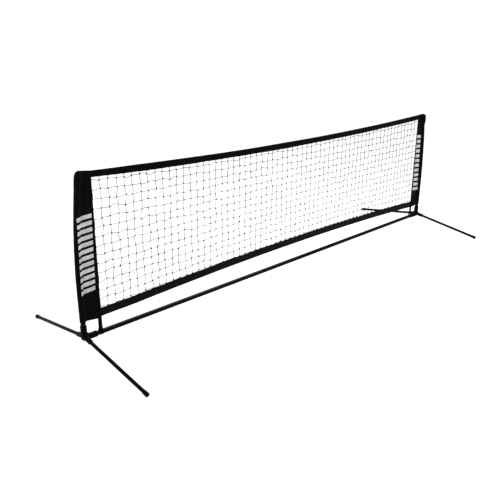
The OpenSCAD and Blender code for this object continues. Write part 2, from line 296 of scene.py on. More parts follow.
def thicken(piece, thickness):
    """Gives a piece's single layer of cloth its thickness."""
    solid = piece.modifiers.new("cloth", "SOLIDIFY")
    solid.thickness = thickness
    solid.offset = 0
    return piece


# ---------------------------------------------------------------- materials
# Height of the finest relief on every surface
RELIEF = 0.0002


def nodes_of(name):
    made = bpy.data.materials.new(name)
    made.use_nodes = True
    tree = made.node_tree
    return made, tree, tree.nodes["Principled BSDF"]


def add(tree, kind, inputs=(), **settings):
    """A new node: its inputs are linked to sockets or set to values."""
    node = tree.nodes.new(kind)
    for key, value in settings.items():
        setattr(node, key, value)
    for key, value in dict(inputs).items():
        if isinstance(value, bpy.types.NodeSocket):
            tree.links.new(value, node.inputs[key])
        else:
            node.inputs[key].default_value = value
    return node


def maths(tree, operation, a, b=None):
    inputs = {0: a} if b is None else {0: a, 1: b}
    return add(tree, "ShaderNodeMath", inputs, operation=operation).outputs[0]


def ramp(tree, factor, stops):
    """A colour ramp from (place, colour) stops."""
    node = add(tree, "ShaderNodeValToRGB", {0: factor})
    for k, (place, colour) in enumerate(stops):
        stop = node.color_ramp.elements[k] if k < 2 else node.color_ramp.elements.new(place)
        stop.position = place
        stop.color = (*colour, 1)
    return node.outputs[0]


def spread(tree, factor, low, high):
    """A factor of 0 to 1 spread over low to high."""
    inputs = {"Value": factor, "To Min": low, "To Max": high}
    return add(tree, "ShaderNodeMapRange", inputs).outputs[0]


def noise_node(tree, where, scale, detail=3.0):
    inputs = {"Vector": where, "Scale": scale, "Detail": detail}
    return add(tree, "ShaderNodeTexNoise", inputs).outputs[0]


def weave_height(tree, where, pitch):
    """Plain weave over the X-Z plane: raised warp and weft threads in turn."""
    split = add(tree, "ShaderNodeSeparateXYZ", {0: where})
    k = math.pi / pitch
    across = maths(tree, "SINE", maths(tree, "MULTIPLY", split.outputs[0], k))
    upward = maths(tree, "SINE", maths(tree, "MULTIPLY", split.outputs[2], k))
    turn = maths(tree, "GREATER_THAN", maths(tree, "MULTIPLY", across, upward), 0.0)
    other = maths(tree, "SUBTRACT", 1.0, turn)
    warp = maths(tree, "MULTIPLY", maths(tree, "ABSOLUTE", across), turn)
    weft = maths(tree, "MULTIPLY", maths(tree, "ABSOLUTE", upward), other)
    return maths(tree, "ADD", warp, weft)


def finish_for(
    name,
    dark,
    light,
    rough,
    specular=0.5,
    patch=14.0,
    fine=900.0,
    bump=0.25,
    weave=None,
    **sockets,
):
    """A procedural finish: patchy colour, uneven roughness, and grain or weave, with the weave's
    grooves painted darker as shade.

    patch and fine are noise scales, weave is the pitch of its threads, and sockets go to the
    shader as they are.
    """
    made, tree, shader = nodes_of(name)
    where = add(tree, "ShaderNodeTexCoord").outputs["Object"]
    clouds = noise_node(tree, where, patch)
    grain = noise_node(tree, where, fine, 2.0)
    height = grain
    if weave:
        threads = weave_height(tree, where, weave)
        height = maths(tree, "ADD", threads, maths(tree, "MULTIPLY", grain, 0.35))
        # The weave's colour is darker in the grooves between its threads: painted shade
        shade = maths(tree, "MULTIPLY", clouds, spread(tree, threads, 0.72, 1.12))
    else:
        shade = maths(tree, "MULTIPLY", clouds, spread(tree, grain, 0.85, 1.15))
    colour = ramp(tree, shade, [(0.3, dark), (0.7, light)])
    tree.links.new(colour, shader.inputs["Base Color"])
    uneven = spread(tree, clouds, rough - 0.08, rough + 0.08)
    tree.links.new(uneven, shader.inputs["Roughness"])
    inputs = {"Height": height, "Strength": bump, "Distance": RELIEF}
    relief = add(tree, "ShaderNodeBump", inputs)
    tree.links.new(relief.outputs[0], shader.inputs["Normal"])
    shader.inputs["Specular IOR Level"].default_value = specular
    for key, value in sockets.items():
        shader.inputs[key.replace("_", " ")].default_value = value
    return made


def grey(v, tint=0.0):
    """A grey of value v, made bluer by tint."""
    return (v, v * (1 + tint * 0.3), v * (1 + tint))


hub_plastic = finish_for(
    "hub_plastic", grey(0.0003), grey(0.0009), 0.5, 0.03, fine=1600, bump=0.35
)
tube_paint = finish_for(
    "tube_paint", grey(0.0004, 0.3), grey(0.0010, 0.3), 0.26, 0.05, fine=700, bump=0.12
)
leg_paint = finish_for(
    "leg_paint", grey(0.0004, 0.5), grey(0.0010, 0.5), 0.34, 0.025, fine=700, bump=0.12
)
cap_rubber = finish_for(
    "cap_rubber", grey(0.0005), grey(0.0014), 0.78, 0.04, fine=1200, bump=0.4
)
plug_plastic = finish_for("plug_plastic", grey(0.01), grey(0.02), 0.5, 0.3)
button_steel = finish_for(
    "button_steel", grey(0.42), grey(0.6), 0.3, fine=2400, bump=0.08, Metallic=1.0
)
spring_steel = finish_for(
    "spring_steel", grey(0.35), grey(0.5), 0.38, fine=1500, bump=0.1, Metallic=1.0
)
twine = finish_for(
    "twine", grey(0.0015), grey(0.005), 0.85, 0.06, patch=60, fine=2600, bump=0.8
)
band_cloth = finish_for(
    "band_cloth", grey(0.0006), grey(0.0018), 0.7, 0.035, bump=0.5, weave=0.0007
)
# The foot band's cloth is the head band's cloth in a lighter grey: a painted sheen, as if its face
# catches more light
foot_cloth_painted_sheen = finish_for(
    "foot_cloth_painted_sheen", grey(0.0015), grey(0.0032), 0.7, 0.06, bump=0.5, weave=0.0007
)
sleeve_cloth = finish_for(
    "sleeve_cloth", grey(0.0004), grey(0.0014), 0.5, 0.03, bump=0.45, weave=0.0006
)
webbing = finish_for(
    "webbing", grey(0.0006), grey(0.0016), 0.7, 0.035, bump=0.6, weave=0.0011
)
hook_and_loop = finish_for(
    "hook_and_loop", grey(0.002), grey(0.006), 0.9, 0.05, fine=3200, bump=0.9
)
cord = finish_for("cord", grey(0.02), grey(0.04), 0.8, 0.25, bump=0.5, weave=0.0012)
thread = finish_for("thread", grey(0.0015), grey(0.004), 0.6, 0.06, fine=3000, bump=0.5)
print_ink = finish_for(
    "print_ink", grey(0.36), grey(0.60), 0.62, 0.3, patch=26, bump=0.5, weave=0.0009
)

# Finish of each kind of CAD node that shows as it is
CAD_FINISH = {
    "hub": hub_plastic,
    "post_lower": tube_paint,
    "post_upper": tube_paint,
    "post_cap": plug_plastic,
    "post_button": button_steel,
    "post_spring": spring_steel,
    "rail_section": tube_paint,
    "rail_button": button_steel,
    "rail_spring": spring_steel,
    "rail_shock_cord": cord,
    "cord_anchor": plug_plastic,
    "leg": leg_paint,
}
for node_name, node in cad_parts.items():
    kind = next((k for k in CAD_FINISH if node_name.startswith(k)), None)
    if kind:
        node.data.materials.clear()
        node.data.materials.append(CAD_FINISH[kind])

# ---------------------------------------------------------------- hubs
# The moulding's edges are eased, on a mesh of this pitch
HUB_PITCH = 0.0012
for end in (LEFT, RIGHT):
    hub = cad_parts["hub_" + SIDE_NAME[end]]
    skin = hub.modifiers.new("moulded", "REMESH")
    skin.mode = "VOXEL"
    skin.voxel_size = HUB_PITCH
    skin.use_smooth_shade = True
    ease = hub.modifiers.new("eased", "SMOOTH")
    ease.factor, ease.iterations = 0.5, 4

# ---------------------------------------------------------------- leaf springs
# Each U-shaped spring is shown as a copy of the CAD's own strip, with the strip's transform baked
# in
bpy.context.view_layer.update()
for end in (LEFT, RIGHT):
    for tube in ("post", "rail"):
        spring = tube + "_spring_" + SIDE_NAME[end]
        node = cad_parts[spring]
        strip = bpy.data.objects.new(spring + "_strip", node.data.copy())
        strip.data.transform(node.matrix_world)
        bpy.context.scene.collection.objects.link(strip)
        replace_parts(strip, spring)
        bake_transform(strip)

# ---------------------------------------------------------------- leg caps
# Height of a leg's axis at the post and at its far end, and how far from the post it reaches
LEG_Z, LEG_LOW_Z, LEG_REACH = 0.090, 0.0096, 0.520
LEG_SLOPE = math.atan((LEG_Z - LEG_LOW_Z) / LEG_REACH)
LEG_END = LEG_REACH / math.cos(LEG_SLOPE)
CAP_L = 0.030
# The cap's profile, from the inside of its mouth to its closed end: distance from the mouth, radius
CAP_PROFILE = [
    (0.0240, 0.0),
    (0.0240, 0.0086),
    (0.0006, 0.00905),
    (0.0, 0.0094),
    (0.0003, 0.0099),
    (0.0012, 0.0104),
    (0.0040, 0.0104),
    (0.0046, 0.0100),
    (0.0056, 0.0100),
    (0.0062, 0.0104),
    (0.0088, 0.0104),
    (0.0094, 0.0100),
    (0.0104, 0.0100),
    (0.0110, 0.0104),
    (0.0150, 0.0104),
    (0.0180, 0.0106),
    (0.0200, 0.0109),
    (0.0215, 0.0110),
    (0.0255, 0.0110),
    (0.0275, 0.0107),
    (0.0290, 0.0099),
    (0.0298, 0.0086),
    (0.0300, 0.0070),
    (0.0300, 0.0),
]


def leg_point(end, way, along, out, angle):
    """A point round a leg's axis: along it, out from it, and at an angle."""
    axis = Vector((0, way * math.cos(LEG_SLOPE), -math.sin(LEG_SLOPE)))
    side = Vector((1, 0, 0))
    over = axis.cross(side)
    start = at_post(end, 0, 0, LEG_Z)
    return start + axis * along + out * (math.cos(angle) * side + math.sin(angle) * over)


CAP_SIDES = 48
for end in (LEFT, RIGHT):
    for way in (FRONT, REAR):
        label = SIDE_NAME[end] + "_" + WAY_NAME[way]
        cap = Builder()
        rows = []
        for along, radius in CAP_PROFILE:
            row = []
            for angle in circle(CAP_SIDES):
                p = leg_point(end, way, LEG_END - CAP_L + along, max(radius, 1e-4), angle)
                p.z = max(p.z, 0.0)
                row.append(p)
            rows.append(row)
        cap.grid(rows, close_columns=True)
        cap.close_ends(0, CAP_SIDES)
        made = cap.piece("cap_" + label, cap_rubber, "cap_rubber", "leg_" + label + "_body")
        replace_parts(made, "leg_cap_" + label)

# ---------------------------------------------------------------- netting
COLUMNS, ROWS = 63, 14
TWINE_R, TWINE_SIDES = 0.0013, 5
STRAND_STEPS, KNOT_STEPS = 8, 20
# Height of the lowest row of knots over the foot band, and of the gap over the highest, in squares
FIRST_ROW, LAST_GAP = 0.08, 0.36
# Size of a knot, and the spread of its size
KNOT_SIZE, KNOT_SPREAD = 0.00115, 0.25
# How far knots lie off the true grid: by turns one way and the other, and at random
TURN_X, TURN_Z = 0.0016, 0.0014
OFF_X, OFF_Y, OFF_Z = 0.0024, 0.0014, 0.0022
# Bow of the strands that meet the foot band, meet the head band, run up, and run along the net
FOOT_SLACK, HEAD_SLACK, UP_SLACK, ALONG_SLACK = 0.0004, 0.0008, 0.0015, 0.0024
# How far strands bow out of the net's plane
STRAND_Y = 0.0013
# How far the field reaches into the tapes at its sides, and its strands into the bands
FIELD_TUCK, STRAND_TUCK = 0.002, 0.003


def net_point(u, v):
    """A point of the netting's field, u from -1 to 1 along it and v from 0 to 1 up it."""
    low_x, high_x = (FOOT_X + FIELD_TUCK) * u, (HEAD_X + FIELD_TUCK) * u
    low = Vector((low_x, 0, foot_z(low_x) + FOOT_H / 2))
    high = Vector((high_x, 0, head_z(high_x) - HEAD_H / 2 * head_size(high_x)))
    return low.lerp(high, v)


def crossing(i, j):
    """Where mesh column i and row j are knotted, a little out of true."""
    p = net_point(2 * i / COLUMNS - 1, (j + FIRST_ROW) / (ROWS + FIRST_ROW + LAST_GAP))
    turn = (-1) ** (i + j)
    p.z += TURN_Z * turn + rng.gauss(0, OFF_Z)
    if 0 < i < COLUMNS:
        p.x += TURN_X * turn + rng.gauss(0, OFF_X)
        p.y = rng.gauss(0, OFF_Y)
    return p


knots = [[crossing(i, j) for j in range(ROWS + 1)] for i in range(COLUMNS + 1)]
net = Builder()


def strand(a, b, slack):
    """Twine between two knots, with its own small bow, kink and thickness."""
    along = (b - a).normalized()
    across = Vector((along.z, 0, -along.x))
    bow, kink = rng.gauss(0, slack), rng.gauss(0, slack * 0.6)
    out = rng.gauss(0, STRAND_Y)
    path = []
    for t in spaced(0, 1, STRAND_STEPS):
        shift = bow * math.sin(math.pi * t) + kink * math.sin(2 * math.pi * t)
        p = a.lerp(b, t) + across * shift
        p.y += out * math.sin(math.pi * t)
        path.append(p)
    net.tube(path, TWINE_R * rng.uniform(0.88, 1.12), TWINE_SIDES)


def knot(p):
    """The twine's own crossing: a small tight trefoil, turned at random."""
    turn = Matrix.Rotation(rng.uniform(0, 2 * math.pi), 3, "Y")
    tip = Matrix.Rotation(rng.uniform(-0.5, 0.5), 3, "X")
    size = KNOT_SIZE * (1 + rng.uniform(-KNOT_SPREAD, KNOT_SPREAD))
    path = []
    for t in circle(KNOT_STEPS):
        x = math.sin(t) + 2 * math.sin(2 * t)
        z = math.cos(t) - 2 * math.cos(2 * t)
        q = Vector((x * 1.15, -math.sin(3 * t), z * 0.9)) * size
        path.append(p + turn @ (tip @ q))
    net.tube(path, TWINE_R, TWINE_SIDES, closed=True)


for i in range(COLUMNS + 1):
    u = 2 * i / COLUMNS - 1
    foot, head = net_point(u, 0), net_point(u, 1)
    foot.z -= STRAND_TUCK
    head.z += STRAND_TUCK
    strand(foot, knots[i][0], FOOT_SLACK)
    strand(knots[i][ROWS], head, HEAD_SLACK)
    for j in range(ROWS + 1):
        if j < ROWS:
            strand(knots[i][j], knots[i][j + 1], UP_SLACK)
        if i < COLUMNS:
            strand(knots[i][j], knots[i + 1][j], ALONG_SLACK)
        knot(knots[i][j])
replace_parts(net.piece("netting", twine, "twine"), "net_mesh")

# ---------------------------------------------------------------- bands
# Thickness of the cloth
CLOTH = 0.0009
BAND_STEPS = 760
# How far a band's ends reach into the sleeves
BAND_TUCK = 0.004
MESH_PITCH = 2 * HEAD_X / COLUMNS
# The fold over the head cord: its radius, and its height over the band's middle
TUNNEL_R, TUNNEL_Z = 0.0034, HEAD_H / 2 - 0.0039


def band_pull(x):
    """1 where a strand of the netting pulls the band, -1 between two strands."""
    return math.cos(2 * math.pi * (x + HEAD_X) / MESH_PITCH)


def head_section():
    """Half thickness and height of the folded head band, from the hem to the top."""
    low = [(0.0009, -HEAD_H / 2 + t * 0.0017) for t in range(11)]
    neck = [(0.0012, TUNNEL_Z - 0.0052), (0.0021, TUNNEL_Z - 0.0037)]
    top = []
    for k in range(8):
        a = math.radians(-38 + 128 * k / 7)
        top.append((TUNNEL_R * math.cos(a), TUNNEL_Z + TUNNEL_R * math.sin(a)))
    low = [p for p in low if p[1] < neck[0][1] - 0.001]
    return low + neck + top


def foot_section():
    """The same for the foot band, from the open top edge to the fold below."""
    hem_r, hem_z = 0.0019, -FOOT_H / 2 + 0.0021
    flat = [(0.0011, FOOT_H / 2 - t * 0.0024) for t in range(16)]
    neck = [(0.0013, hem_z + 0.0035), (0.0017, hem_z + 0.0018)]
    low = []
    for k in range(6):
        a = math.radians(20 - 110 * k / 5)
        low.append((hem_r * math.cos(a), hem_z + hem_r * math.sin(a)))
    flat = [p for p in flat if p[1] > neck[0][1] + 0.001]
    return flat + neck + low


def head_point(x, side, half, z):
    """One point of the head band's cloth, with its puckers and waves."""
    drop = (HEAD_H / 2 - z) / HEAD_H
    wave = 0.0011 * noise_at(x * 7, 0, 0, 1) + 0.0005 * noise_at(x * 31, z * 20, 0, 2)
    pucker = 0.00045 * noise_at(x * 95, z * 30, side, 3) * (0.4 + drop)
    bulge = 0.0009 * max(0.0, noise_at(x * 24, z * 60, side * 5, 4)) * smooth(drop * 2)
    scallop = -0.0004 * band_pull(x) * drop**2 + 0.0012 * noise_at(x * 12, 0, 0, 5) * drop
    y = side * (half + bulge + pucker) + wave * (0.4 + drop)
    return Vector((x, y, head_z(x) + z * head_size(x) + scallop))


def foot_point(x, side, half, z):
    """One point of the foot band's cloth."""
    up = (z + FOOT_H / 2) / FOOT_H
    wave = 0.0016 * noise_at(x * 5, 0, 0, 6) + 0.0007 * noise_at(x * 22, z * 16, 0, 7)
    pucker = 0.0005 * noise_at(x * 80, z * 24, side, 8) * (0.4 + up)
    bulge = 0.0011 * max(0.0, noise_at(x * 17, z * 40, side * 5, 9)) * math.sin(math.pi * up)
    scallop = 0.0005 * band_pull(x) * up**2 + 0.0007 * noise_at(x * 9, 0, 0, 10)
    y = side * (half + bulge + pucker) + wave * (0.5 + up / 2)
    return Vector((x, y, foot_z(x) + z + scallop))


def make_band(name, section, point, cloth, nodes):
    """Cloth folded over a section, as one strip from sleeve to sleeve."""
    reach = box_of(nodes)[1].x + BAND_TUCK
    stations = spaced(-reach, reach, BAND_STEPS)
    strip, seams = Builder(), Builder()
    rows = []
    for x in stations:
        rear = [point(x, REAR, half, z) for half, z in section]
        front = [point(x, FRONT, half, z) for half, z in reversed(section[:-1])]
        rows.append(rear + front)
    strip.grid(rows)
    made = thicken(strip.piece(name, cloth, "band_cloth"), CLOTH)
    for side in (FRONT, REAR):
        for z in SEAMS[name]:
            half = half_at(section, z) + CLOTH / 2
            path = [point(x, side, half, z) for x in stations]
            seams.stitch_row(path, side)
    sewn = seams.piece(name + "_stitching", thread, "band_cloth")
    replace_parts(made, *nodes)


def half_at(section, z):
    """Half thickness of a section at its point nearest to height z."""
    near = min(section, key=lambda p: abs(p[1] - z))
    return near[0]


# The head cord: its size, and the depth of the grooves between its strands as a share of that
ROPE_R, ROPE_SIDES, ROPE_STEP, ROPE_GROOVE = 0.0024, 18, 0.0015, 0.16
# Twist of its three strands, in radians a metre
ROPE_TWIST = 260


def twisted_rope():
    """The cord of three twisted strands that follows the head band's fold."""
    rope = Builder()
    rows = []
    for x in spaced(-HEAD_X, HEAD_X, round(2 * HEAD_X / ROPE_STEP)):
        middle = head_point(x, 0, 0, TUNNEL_Z)
        row = []
        for a in circle(ROPE_SIDES):
            lobe = abs(math.sin(1.5 * a - x * ROPE_TWIST))
            r = ROPE_R * (1 - ROPE_GROOVE + ROPE_GROOVE * lobe)
            row.append(middle + Vector((0, r * math.cos(a), r * math.sin(a))))
        rows.append(row)
    rope.grid(rows, close_columns=True)
    rope.close_ends(0, ROPE_SIDES)
    return rope.piece("head_rope", cord, "cord")


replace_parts(twisted_rope(), "head_cord")

# Heights of each band's rows of stitches
SEAMS = {
    "head_cloth": [-HEAD_H / 2 + 0.0035, HEAD_H / 2 - 0.0105],
    "foot_cloth_painted_sheen": [FOOT_H / 2 - 0.0035, FOOT_H / 2 - 0.0085, -FOOT_H / 2 + 0.0075],
}
make_band("head_cloth", head_section(), head_point, band_cloth, HEAD_BANDS)
# The foot band is drawn in the lighter grey of its painted sheen
make_band("foot_cloth_painted_sheen", foot_section(), foot_point, foot_cloth_painted_sheen, FOOT_BANDS)

# ---------------------------------------------------------------- sleeves
# The pocket's radius round the pole, and its seam's distance from the pole's axis
POCKET_R, SEAM_X = 0.0140, 0.0235
# How much fuller the hood is, the height where that starts, and over what height it grows
HOOD_FULL, HOOD_FROM, HOOD_OVER = 0.0015, 0.81, 0.05
TOP_X = pole_offset(POLE_TOP)
# The hood's rounded corner: its peak from the pole's axis, heights of its foot and its peak, and
# how square it is
HOODS = {LEFT: (0.012, 0.855, 0.8985, 1.0), RIGHT: (0.016, 0.850, 0.884, 0.65)}
# How much fuller each sleeve is round the top of its pole, where that starts, over what height
FULL_TOP, FULL_FROM, FULL_OVER = {LEFT: 0.0006, RIGHT: 0.0060}, 0.80, 0.03
# How loosely each sleeve hangs
LOOSE = {LEFT: 0.55, RIGHT: 1.0}
# Half thickness of the two layers between pocket and tape, and how far they puff apart
WEB_HALF, WEB_PUFF = 0.0009, 0.0016
# Depth over which the sleeve closes to its top edge, over the pole and past the pocket's seam
CLOSE_POLE, CLOSE_WEB = 0.014, 0.004
# Creases: middle x and z, angle in radians, wavelength, depth, and spread along x and z
CREASES = {
    LEFT: [
        (0.06, 0.20, 0.9, 0.055, 0.0024, 0.035, 0.05),
        (0.07, 0.84, -0.8, 0.045, 0.0012, 0.03, 0.04),
    ],
    RIGHT: [
        (0.07, 0.20, 1.15, 0.034, 0.0036, 0.045, 0.045),
        (0.05, 0.26, 0.8, 0.042, 0.0026, 0.04, 0.05),
        (0.06, 0.83, 1.9, 0.036, 0.0030, 0.045, 0.04),
    ],
}


def pocket_radius(end, z):
    """Radius of the sleeve's cloth round the pole at height z."""
    easy = 0.0005 * noise_at(z * 14, end, 0, 11) + 0.0003 * noise_at(z * 45, end, 0, 12)
    fuller = FULL_TOP[end] * smooth((z - FULL_FROM) / FULL_OVER)
    return POCKET_R + easy + fuller + HOOD_FULL * smooth((z - HOOD_FROM) / HOOD_OVER)


def outline_x(end, z):
    """The sleeve's outer edge at height z, below the hood's corner."""
    return pole_offset(min(z, POLE_TOP)) - pocket_radius(end, z)


def hood_corner(end, x=None, z=None, turn=None):
    """A point of the hood's corner, found from its x, its height, or how far round it is."""
    peak, low, top, power = HOODS[end]
    wide = TOP_X + peak - outline_x(end, low)
    if x is not None:
        turn = math.acos(clamp((TOP_X + peak - x) / wide) ** (1 / power))
    elif z is not None:
        turn = math.asin(clamp((z - low) / (top - low)) ** (1 / power))
    across, up = math.cos(turn), math.sin(turn)
    return Vector((TOP_X + peak - wide * across**power, 0, low + (top - low) * up**power))


def top_edge(end, x):
    """Height of the sleeve's top edge at x."""
    peak = hood_corner(end, turn=math.pi / 2)
    if x <= peak.x:
        return hood_corner(end, x=x).z
    t = clamp((x - peak.x) / (inner_x(TAPE_TOP) - peak.x))
    return peak.z + (tape_top(end) - peak.z) * t


def web_half(end, x, z):
    """Half thickness of the double cloth between the pocket's seam and the tape."""
    start = SEAM_X + pole_offset(min(z, POLE_TOP))
    across = clamp((x - start) / (inner_x(z) - start))
    puff = math.sin(math.pi * across) * (0.9 + 0.9 * noise_at(x * 16, z * 7, end, 13))
    return WEB_HALF + WEB_PUFF * LOOSE[end] * max(0.0, puff)


def half_thickness(end, x, z):
    """Half thickness of the whole sleeve at a point, 0 along its outline."""
    r = pocket_radius(end, z)
    d = x - pole_offset(min(z, POLE_TOP))
    touch = r * r / SEAM_X
    if d <= touch:
        tube = math.sqrt(max(0.0, r * r - d * d))
    else:
        high = math.sqrt(r * r - touch * touch)
        tube = high * clamp((SEAM_X - d) / (SEAM_X - touch))
    if d > 0:
        tube = math.hypot(tube, web_half(end, x, z))
    closing = CLOSE_POLE - (CLOSE_POLE - CLOSE_WEB) * clamp(d / SEAM_X)
    edge = clamp((top_edge(end, x) - z) / closing)
    return tube * math.sqrt(1 - (1 - edge) ** 2)


def crease(x, z, cx, cz, angle, wave, size, spread_x, spread_z):
    """A local set of parallel wrinkles."""
    c, s = math.cos(angle), math.sin(angle)
    across = (x - cx) * c + (z - cz) * s
    near = math.exp(-(((x - cx) / spread_x) ** 2) - ((z - cz) / spread_z) ** 2)
    return size * near * math.sin(2 * math.pi * across / wave)


def web_wave(end, x, z):
    """How far both layers of the web stand out of the net's plane together."""
    d = x - pole_offset(min(z, POLE_TOP))
    free = smooth((d - 0.012) / 0.03) * smooth((inner_x(z) - x) / 0.02)
    wave = 0.0022 * noise_at(x * 9, z * 5, end, 14)
    wave += 0.0011 * noise_at(x * 26 + z * 14, z * 19, end, 15)
    wave += sum(crease(x, z, *sizes) for sizes in CREASES[end])
    return (0.35 + 0.65 * LOOSE[end]) * wave * free


# Columns of the sleeve's mesh from the pole to the tape
FLAT_COLUMNS = 34


def sleeve_grid(end):
    """Points of the sleeve in the net's plane, row by row, from its outer edge to the tape."""
    top_line = [hood_corner(end, turn=math.radians(a)) for a in range(45, 91, 5)]
    top_line.append(Vector((inner_x(TAPE_TOP), 0, tape_top(end))))
    lengths = [0.0]
    for a, b in zip(top_line, top_line[1:]):
        lengths.append(lengths[-1] + (b - a).length)

    def top_at(t):
        s = t * lengths[-1]
        for k in range(len(lengths) - 1):
            if s <= lengths[k + 1] + 1e-12:
                u = (s - lengths[k]) / (lengths[k + 1] - lengths[k])
                return top_line[k].lerp(top_line[k + 1], u)
        return top_line[-1]

    low_left = Vector((outline_x(end, HEM_Z), 0, hem_at(0)))
    low_right = Vector((inner_x(HEM_Z), 0, hem_at(inner_x(HEM_Z))))
    top_left, top_right = top_line[0], top_line[-1]
    wide = low_right.x - low_left.x
    columns = [POCKET_R * (1 - math.cos(math.radians(a))) / wide for a in range(0, 91, 6)]
    rest = 1 - columns[-1]
    columns += [1 - rest + rest * k / FLAT_COLUMNS for k in range(1, FLAT_COLUMNS + 1)]
    rows = [k / 150 for k in range(147)]
    rows += [1 - 0.0267 * (1 - k / 9) ** 1.6 for k in range(1, 10)]
    grid = []
    for b in rows:
        z = low_left.z + b * (top_left.z - low_left.z)
        left = Vector((outline_x(end, z), 0, z))
        if z > HOODS[end][1]:
            left = hood_corner(end, z=z)
        right = low_right.lerp(top_right, b)
        row = []
        for a in columns:
            low = low_left.lerp(low_right, a)
            corners = low.lerp(top_left.lerp(top_right, a), b)
            low = Vector((low.x, 0, hem_at(low.x)))
            row.append(low.lerp(top_at(a), b) + left.lerp(right, a) - corners)
        grid.append(row)
    return grid


def sleeve_point(end, side, x, z, onto=0.0):
    """A point of the sleeve's cloth, or a little outside it by onto."""
    y = side * (half_thickness(end, x, z) + onto) + web_wave(end, x, z)
    return at_post(end, x, y, z)


# Printed bars: lowest and highest, and at those heights their outer and inner ends
BARS = {
    LEFT: (0.308, 0.699, (0.000, 0.081), (0.014, 0.097)),
    RIGHT: (0.287, 0.737, (0.019, 0.088), (0.050, 0.106)),
}
BAR_COUNT, BAR_ROWS, BAR_COLUMNS = 12, 8, 22
# Share of its pitch that a bar fills, the gap under it, and how much it rises from end to end
BAR_SHARE, BAR_GAP, BAR_SLANT = 0.62, 0.12, 0.006
INK = 0.0002
# The pocket's seam: its start over the hem, and the number and length of its steps
POCKET_SEAM, SEAM_STEPS, SEAM_STEP = 0.012, 330, 0.00208
# Heights of the hem's rows of stitches, and how far they stay from the cloth's edges
HEM_ROWS, HEM_END = (0.0045, 0.0105), 0.003
for end in (LEFT, RIGHT):
    cloth = Builder()
    grid = sleeve_grid(end)
    tall, wide = len(grid), len(grid[0])
    index = {}
    for side in (FRONT, REAR):
        for b in range(tall):
            for a in range(wide):
                on_edge = a == 0 or b == tall - 1
                key = (a, b, 0 if on_edge else side)
                if key in index:
                    continue
                p = grid[b][a]
                y = 0.0
                if not on_edge:
                    y = side * half_thickness(end, p.x, p.z)
                y += web_wave(end, p.x, p.z)
                index[key] = len(cloth.points)
                cloth.points.append(at_post(end, p.x, y, p.z))
        for b in range(tall - 1):
            for a in range(wide - 1):
                loop = []
                for u, v in ((a, b), (a + 1, b), (a + 1, b + 1), (a, b + 1)):
                    on_edge = u == 0 or v == tall - 1
                    loop.append(index[(u, v, 0 if on_edge else side)])
                cloth.faces.append(tuple(loop if side * end > 0 else reversed(loop)))
    label = SIDE_NAME[end]
    sleeve = thicken(cloth.piece("sleeve_cloth_" + label, sleeve_cloth, "sleeve_cloth"), CLOTH)
    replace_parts(sleeve, "sleeve_" + label)

    seams = Builder()
    for side in (FRONT, REAR):
        path = []
        for k in range(SEAM_STEPS):
            z = HEM_Z + POCKET_SEAM + k * SEAM_STEP
            x = pole_offset(z) + SEAM_X + 0.001
            path.append(sleeve_point(end, side, x, z, CLOTH / 2))
        seams.stitch_row(path, side)
        for height in HEM_ROWS:
            path = []
            for x in spaced(SEAM_X + HEM_END, inner_x(HEM_Z) - HEM_END, 39):
                path.append(sleeve_point(end, side, x, hem_at(x) + height, CLOTH / 2))
            seams.stitch_row(path, side)
    sewn = seams.piece("sleeve_stitching_" + label, thread, "sleeve_cloth")

    bars = Builder()
    low, high, low_ends, high_ends = BARS[end]
    pitch = (high - low) / BAR_COUNT
    for k in range(BAR_COUNT):
        rows = []
        for r in range(BAR_ROWS + 1):
            row = []
            for t in spaced(0, 1, BAR_COLUMNS):
                z = low + pitch * (k + BAR_GAP + BAR_SHARE * r / BAR_ROWS) + BAR_SLANT * (t - 0.5)
                up = (z - low) / (high - low)
                outer = low_ends[0] + (high_ends[0] - low_ends[0]) * up
                inner = low_ends[1] + (high_ends[1] - low_ends[1]) * up
                x = outer + (inner - outer) * t
                row.append(sleeve_point(end, FRONT, x, z, (CLOTH + INK) / 2))
            rows.append(row)
        bars.grid(rows)
    printed = thicken(bars.piece("sleeve_bars_" + label, print_ink, "sleeve_cloth"), INK)

# ---------------------------------------------------------------- edge tapes
# Half thickness of the folded tape, the middle of its fold, and its width before it is folded
TAPE_HALF, TAPE_FOLD, TAPE_FLAT_W = 0.0014, 0.0016, 0.0275
# Its seams' distances inside its outer edge, and their stitches' pitch
TAPE_SEAMS, TAPE_STITCH = (0.0028, 0.0095), 0.0042
TAPE_STEPS, TAPE_SEAM_STEPS = 170, 299
# How far the tape hangs under the sleeve's hem, and its seams stop short of its ends
TAPE_HANG, TAPE_SHORT = 0.001, 0.002


def tape_section():
    """Across the folded tape: how far inside its outer edge, and how far off its middle."""
    flat = [(TAPE_W - (TAPE_W - TAPE_FOLD) * k / 8, TAPE_HALF) for k in range(9)]
    turn = []
    for k in range(1, 10):
        a = math.radians(90 - 18 * k)
        turn.append((TAPE_FOLD - TAPE_HALF * math.cos(a), TAPE_HALF * math.sin(a)))
    return flat + turn + [(inset, -y) for inset, y in reversed(flat)]


def tape_point(end, inset, y, z):
    """A point of the tape's cloth, with its sway and crumples."""
    sway = 0.0012 * noise_at(z * 8, end, 0, 16)
    crumple = 0.0004 * noise_at(inset * 120, z * 60, end + (y > 0), 17)
    y *= 0.8 + 0.35 * math.sin(math.pi * inset / TAPE_W)
    y += crumple + 0.0006 * noise_at(z * 20, end, 1, 18)
    return at_post(end, edge_x(z) - inset + sway, y, z)


